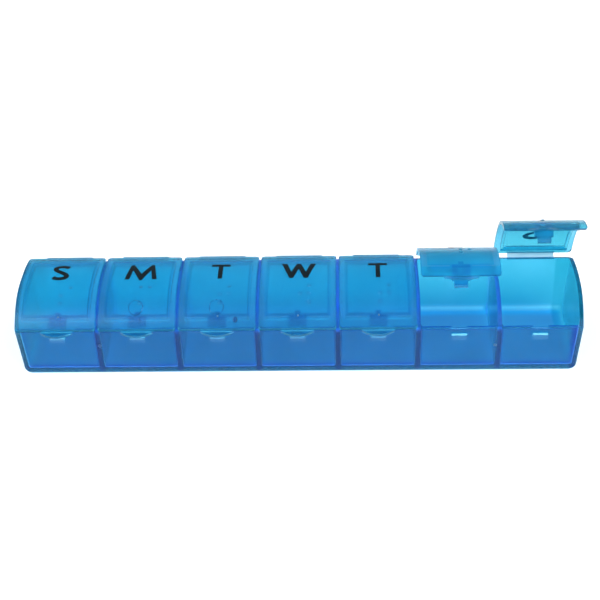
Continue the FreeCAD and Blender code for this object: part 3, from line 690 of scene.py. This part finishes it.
def web_section(half_width):
    """Outline of a web across its fold, as (x, share of the half thickness), with rounded edges."""
    edge = [(x - half_width, thick) for x, thick in WEB_EDGE]
    inner = half_width - WEB_EDGE[-1][0]
    flat = [(inner * (2 * k / WEB_STRIPS - 1), 1.0) for k in range(1, WEB_STRIPS)]
    upper = edge + flat + [(-x, thick) for x, thick in reversed(edge)]
    return upper + [(x, -thick) for x, thick in reversed(upper[1:-1])]


def close_ring(bm, ring):
    """Closes the end of a web with strips from its upper to its lower side."""
    count = len(ring)
    for k in range(count // 2 - 1):
        corners = [ring[k], ring[k + 1], ring[count - k - 1]]
        if k:
            corners.append(ring[(count - k) % count])
        bm.faces.new(corners)
    bm.faces.new((ring[count // 2 - 1], ring[count // 2], ring[count // 2 + 1]))


def hinge_web(day):
    """A thin strip with rounded edges that thickens and widens where it joins the wall and the lid."""
    centre = web_path(OPENING[day])
    last = len(centre) - 1
    middle = MIDDLE[day]
    bm = bmesh.new()
    rings = []
    for i, point in enumerate(centre):
        ahead = centre[min(i + 1, last)] - centre[max(i - 1, 0)]
        side = Vector((-ahead.y, ahead.x)).normalized()
        flare = math.exp(-(min(i, last - i) / FLARE_RINGS) ** 2)
        half_thick = WEB_HALF_THICK + FLARE_THICK * flare
        ring = []
        for x, thick in web_section(WEB_HALF_WIDTH + FLARE_WIDTH * flare):
            y, z = point + side * (thick * half_thick)
            ring.append(bm.verts.new(((middle + x) * MM, y * MM, z * MM)))
        rings.append(ring)
    count = len(rings[0])
    for a, b in zip(rings, rings[1:]):
        for k in range(count):
            bm.faces.new((a[k], a[(k + 1) % count], b[(k + 1) % count], b[k]))
    close_ring(bm, rings[0])
    close_ring(bm, rings[-1])
    for face in bm.faces:
        face.smooth = True
    web = piece(f"web_{day}", bm, PALE, None)
    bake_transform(web)
    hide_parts(f"hinge_{day}")


for day in DAYS:
    hinge_web(day)


# ---------------------------------------------------------------- printed letters

STROKE = 1.75
FOOT, TOP = 0.7, 11.1
INK_BOTTOM, INK_TOP = 0.005, 0.07
# A letter is cut across at these heights, so that it bends with the arch of its lid.
CUTS = [0.6 + 0.5 * k for k in range(23)]

# Width, shift and corners of a letter. A corner is (share of the width from the middle, share of the
# height, strokes added across, strokes added up).
SHAPES = {
    "T": (7.2, 0.35, (
        (-0.5, 1, 0, -1), (-0.5, 1, 0, 0), (0.5, 1, 0, 0), (0.5, 1, 0, -1),
        (0, 1, 0.5, -1), (0, 0, 0.5, 0), (0, 0, -0.5, 0), (0, 1, -0.5, -1),
    )),
    "F": (6.2, 0.0, (
        (-0.5, 0, 0, 0), (-0.5, 1, 0, 0), (0.5, 1, 0, 0), (0.5, 1, 0, -1),
        (-0.5, 1, 1, -1), (-0.5, 0.5, 1, 0.6), (0.4, 0.5, 0, 0.6),
        (0.4, 0.5, 0, -0.4), (-0.5, 0.5, 1, -0.4), (-0.5, 0, 1, 0),
    )),
    "M": (12.5, 0.2, (
        (-0.5, 0, 0, 0), (-0.32, 1, -0.35, 0), (-0.32, 1, 0.35, 0),
        (0, 0.36, 0, 0), (0.32, 1, -0.35, 0), (0.32, 1, 0.35, 0),
        (0.5, 0, 0, 0), (0.5, 0, -1.05, 0), (0.32, 0.6, -0.25, 0),
        (0, 0, 0.3, -0.3), (0, 0, -0.3, -0.3), (-0.32, 0.6, 0.25, 0),
        (-0.5, 0, 1.05, 0),
    )),
    "W": (13.4, 0.2, (
        (-0.5, 1, 0, 0), (-0.5, 1, 1.2, 0), (-0.21, 0.4, 0, 0),
        (0, 1, -0.45, 0), (0, 1, 0.45, 0), (0.21, 0.4, 0, 0),
        (0.5, 1, -1.2, 0), (0.5, 1, 0, 0), (0.21, 0, 0.45, 0),
        (0.21, 0, -0.45, 0), (0, 0.6, 0, 0), (-0.21, 0, 0.45, 0),
        (-0.21, 0, -0.45, 0),
    )),
}
# The S is a smooth line through these points, with its own stroke and shift.
S_LINE = (
    (2.75, 3.55), (1.3, 4.25), (-0.6, 4.28), (-2.15, 3.65), (-2.35, 2.2), (-1.15, 0.8),
    (1.15, -0.8), (2.35, -2.2), (2.15, -3.65), (0.6, -4.28), (-1.3, -4.25), (-2.75, -3.55),
)
S_HALF_STROKE = 0.98
S_SHIFT = -0.9
S_STEPS = 8


def smooth_line(points):
    """A smooth line through points."""
    points = [Vector(p) for p in points]
    ends = [points[0] * 2 - points[1]] + points + [points[-1] * 2 - points[-2]]
    line = []
    for a, b, c, d in zip(ends, ends[1:], ends[2:], ends[3:]):
        for i in range(S_STEPS):
            t = i / S_STEPS
            square = (2 * a - 5 * b + 4 * c - d) * t * t
            cube = (3 * b - a - 3 * c + d) * t ** 3
            line.append(0.5 * (2 * b + (c - a) * t + square + cube))
    return line + [points[-1]]


def letter_corners(letter):
    """Outline of a letter in plan, from the middle of its lid."""
    if letter != "S":
        width, shift, corners = SHAPES[letter]
        height = TOP - FOOT
        return [(a * width + s * STROKE + shift, FOOT + u * height + t * STROKE) for a, u, s, t in corners]
    line = smooth_line(S_LINE)
    sides = ([], [])
    for i, point in enumerate(line):
        ahead = (line[min(i + 1, len(line) - 1)] - line[max(i - 1, 0)]).normalized()
        side = Vector((-ahead.y, ahead.x)) * S_HALF_STROKE
        for edge, way in zip(sides, (1, -1)):
            edge.append(point + side * way)
    return [(p.x + S_SHIFT, p.y + (FOOT + TOP) / 2) for p in sides[0] + sides[1][::-1]]


def print_letter(day):
    """A film of ink with the letter's outline, laid on the arch of a lid."""
    bm = bmesh.new()
    corners = letter_corners(LETTERS[DAYS.index(day)])
    face = bm.faces.new([bm.verts.new((x, y, 0)) for x, y in corners])
    bmesh.ops.triangulate(bm, faces=[face])
    for cut in CUTS:
        geometry = bm.verts[:] + bm.edges[:] + bm.faces[:]
        bmesh.ops.bisect_plane(bm, geom=geometry, plane_co=(0, cut, 0), plane_no=(0, 1, 0))
    lower = bm.verts[:]
    raised = bmesh.ops.extrude_face_region(bm, geom=bm.faces[:])
    upper = [item for item in raised["geom"] if isinstance(item, bmesh.types.BMVert)]
    for verts, offset in ((lower, INK_BOTTOM), (upper, INK_TOP)):
        for vert in verts:
            vert.co = on_lid(day, vert.co.x, vert.co.y, offset)
    bmesh.ops.remove_doubles(bm, verts=bm.verts[:], dist=1e-7)
    letter = piece(f"print_{day}", bm, INK, f"lid_{day}")
    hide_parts(f"letter_{day}")


for day in DAYS:
    print_letter(day)


# ---------------------------------------------------------------- moulding marks

DOT_ROWS = (-3.9, -7.9, -11.5)
DOT_COLUMNS = (0.9, 4.35)
# The (row, column) places of each lid's raised dots.
DOTS = {
    "sunday": ((1, 0), (0, 1), (2, 0)),
    "monday": ((0, 0), (2, 0), (0, 1)),
    "tuesday": ((1, 0), (2, 0), (0, 1), (1, 1)),
    "wednesday": ((1, 0), (0, 1), (1, 1), (2, 1)),
    "thursday": ((1, 0), (2, 0), (0, 1), (1, 1)),
    "friday": ((0, 0), (1, 0), (0, 1)),
    "saturday": ((1, 0), (0, 1), (2, 0)),
}
# Radius, half width, height and number of segments of each kind of ring.
DOT_RING = (0.64, 0.10, 0.06, 20)
GATE_RING = (2.7, 0.10, 0.03, 56)
PIP_RING = (0.2, 0.14, 0.06, 16)
SPECK_RING = (0.45, 0.44, 0.03, 24)
LEFT_BUBBLE_RING = (0.5, 0.16, 0.08, 24)
RIGHT_BUBBLE_RING = (0.45, 0.16, 0.08, 24)
GATES = {"monday": -0.45, "tuesday": -0.2}
GATE_Y = -13.1
SPECK = (7.0, -17.4)
PIPS = {"sunday": 0.6, "tuesday": 0.3, "wednesday": 0.3, "thursday": 0.3}
PIP_Y = -16.3
LEFT_BUBBLE = (-75.9, 13.9)
RIGHT_BUBBLE = (75.0, 12.9)
FRONT_WALL_FOOT = -19.0
FRONT_WALL_LEAN = 0.0505
SUNK = -0.01


def ring_mark(name, body, place, size, material):
    """A low raised ring, such as a gate leaves, or the foot of a dot; place maps (u, v, h) onto a surface."""
    radius, half_width, height, segments = size
    profile = (
        (-half_width, SUNK), (-half_width * 0.6, height * 0.8), (0, height),
        (half_width * 0.6, height * 0.8), (half_width, SUNK),
    )
    bm = bmesh.new()
    rings = []
    for k in range(segments):
        turn = 2 * math.pi * k / segments
        u, v = math.cos(turn), math.sin(turn)
        rings.append([bm.verts.new(place((radius + r) * u, (radius + r) * v, h)) for r, h in profile])
    for k, ring in enumerate(rings):
        following = rings[(k + 1) % segments]
        for j in range(len(profile)):
            n = (j + 1) % len(profile)
            bm.faces.new((ring[j], ring[n], following[n], following[j]))
    for face in bm.faces:
        face.smooth = True
    piece(name, bm, material, body)


def lid_place(day, x, y):
    """Maps (u, v, h) onto a lid round a point of it."""
    return lambda u, v, h: on_lid(day, x + u, y + v, h)


def wall_place(x, z):
    """Maps (u, v, h) onto the front wall round a point of it."""
    return lambda u, v, h: Vector((x + u, FRONT_WALL_FOOT - FRONT_WALL_LEAN * (z + v) - h, z + v)) * MM


for day in DAYS:
    for number, (row, column) in enumerate(DOTS[day], start=1):
        dot = lid_place(day, DOT_COLUMNS[column], DOT_ROWS[row])
        ring_mark(f"dot_foot_{day}_{number}", f"lid_{day}", dot, DOT_RING, MARK)
for day, x in GATES.items():
    ring_mark(f"gate_ring_{day}", f"lid_{day}", lid_place(day, x, GATE_Y), GATE_RING, MARK)
for day, x in PIPS.items():
    ring_mark(f"pip_{day}", f"lid_{day}", lid_place(day, x, PIP_Y), PIP_RING, PALE)
ring_mark("speck_tuesday", "lid_tuesday", lid_place("tuesday", *SPECK), SPECK_RING, MARK)
ring_mark("bubble_left", "tray", wall_place(*LEFT_BUBBLE), LEFT_BUBBLE_RING, PALE)
ring_mark("bubble_right", "tray", wall_place(*RIGHT_BUBBLE), RIGHT_BUBBLE_RING, PALE)


# ---------------------------------------------------------------- studio

# In this section, lengths are in metres, apart from the camera's lens and sensor, and angles in radians.
CAMERA_PLACE = (0.017519, -0.437951, 0.346548)
CAMERA_YAW = -0.0386650627
CAMERA_DOWN = 0.639790696
CAMERA_ROLL = -0.0317392515
CAMERA_LENS = 84.054
CAMERA_SENSOR = 36
LAMP_PLACES = {"left_box": (-0.92, -0.48, 0.95), "right_box": (0.92, -0.48, 0.95)}
LAMP_SIZE = 1.3
LAMP_POWER = 20
SKY_HORIZON = 0.22
SKY_ZENITH = 0.1
FLOOR_HALF = 5
FLOOR_DROP = 0.0001


def camera():
    """The camera, looking down at the front of the box."""
    level = Vector((math.cos(CAMERA_YAW), -math.sin(CAMERA_YAW), 0))
    ahead = math.cos(CAMERA_DOWN)
    forward = Vector((math.sin(CAMERA_YAW) * ahead, math.cos(CAMERA_YAW) * ahead, -math.sin(CAMERA_DOWN)))
    above = level.cross(forward)
    right = level * math.cos(CAMERA_ROLL) + above * math.sin(CAMERA_ROLL)
    up = above * math.cos(CAMERA_ROLL) - level * math.sin(CAMERA_ROLL)
    data = bpy.data.cameras.new("camera")
    data.lens = CAMERA_LENS
    data.sensor_width = CAMERA_SENSOR
    data.clip_start = 0.01
    data.clip_end = 20
    eye = bpy.data.objects.new("camera", data)
    turn = Matrix((right, up, -forward)).transposed().to_4x4()
    eye.matrix_world = Matrix.Translation(CAMERA_PLACE) @ turn
    bpy.context.scene.collection.objects.link(eye)
    bpy.context.scene.camera = eye


def soft_box(name, place):
    """A large square lamp that faces the box."""
    data = bpy.data.lights.new(name, "AREA")
    data.shape = "RECTANGLE"
    data.size = LAMP_SIZE
    data.size_y = LAMP_SIZE
    data.energy = LAMP_POWER
    lamp = bpy.data.objects.new(name, data)
    lamp.location = place
    lamp.rotation_mode = "QUATERNION"
    lamp.rotation_quaternion = (-Vector(place)).to_track_quat("-Z", "Y")
    bpy.context.scene.collection.objects.link(lamp)


def studio_sky():
    """Soft light from all round, brighter near the horizon than overhead."""
    world = bpy.data.worlds.new("studio")
    bpy.context.scene.world = world
    world.use_nodes = True
    tree = world.node_tree
    coordinates = tree.nodes.new("ShaderNodeTexCoord")
    split = tree.nodes.new("ShaderNodeSeparateXYZ")
    tree.links.new(coordinates.outputs["Generated"], split.inputs["Vector"])
    glow = two_tone(tree, split.outputs["Z"], (SKY_HORIZON,) * 3, (SKY_ZENITH,) * 3, 0.15, 0.8)
    tree.links.new(glow, tree.nodes["Background"].inputs["Color"])
    tree.nodes["Background"].inputs["Strength"].default_value = 1.0


def paper_floor():
    """A wide sheet of white paper under the box."""
    bm = bmesh.new()
    corners = ((-1, -1), (1, -1), (1, 1), (-1, 1))
    bm.faces.new([bm.verts.new((x * FLOOR_HALF, y * FLOOR_HALF, -FLOOR_DROP)) for x, y in corners])
    mesh = bpy.data.meshes.new("floor")
    bm.to_mesh(mesh)
    bm.free()
    material, tree, shader, _ = nodes_of("white_paper")
    fibres = noise(tree, 30, 5.0)
    white = two_tone(tree, fibres, (0.93, 0.93, 0.93), (0.96, 0.96, 0.96))
    tree.links.new(white, shader.inputs["Base Color"])
    shader.inputs["Roughness"].default_value = 0.9
    shader.inputs["Emission Color"].default_value = (1, 1, 1, 1)
    shader.inputs["Emission Strength"].default_value = 0.3
    shader.inputs["Specular IOR Level"].default_value = 0.0
    mesh.materials.append(material)
    floor = bpy.data.objects.new("floor", mesh)
    bpy.context.scene.collection.objects.link(floor)


camera()
studio_sky()
for name, place in LAMP_PLACES.items():
    soft_box(name, place)
paper_floor()
bpy.context.scene.view_settings.view_transform = "Standard"
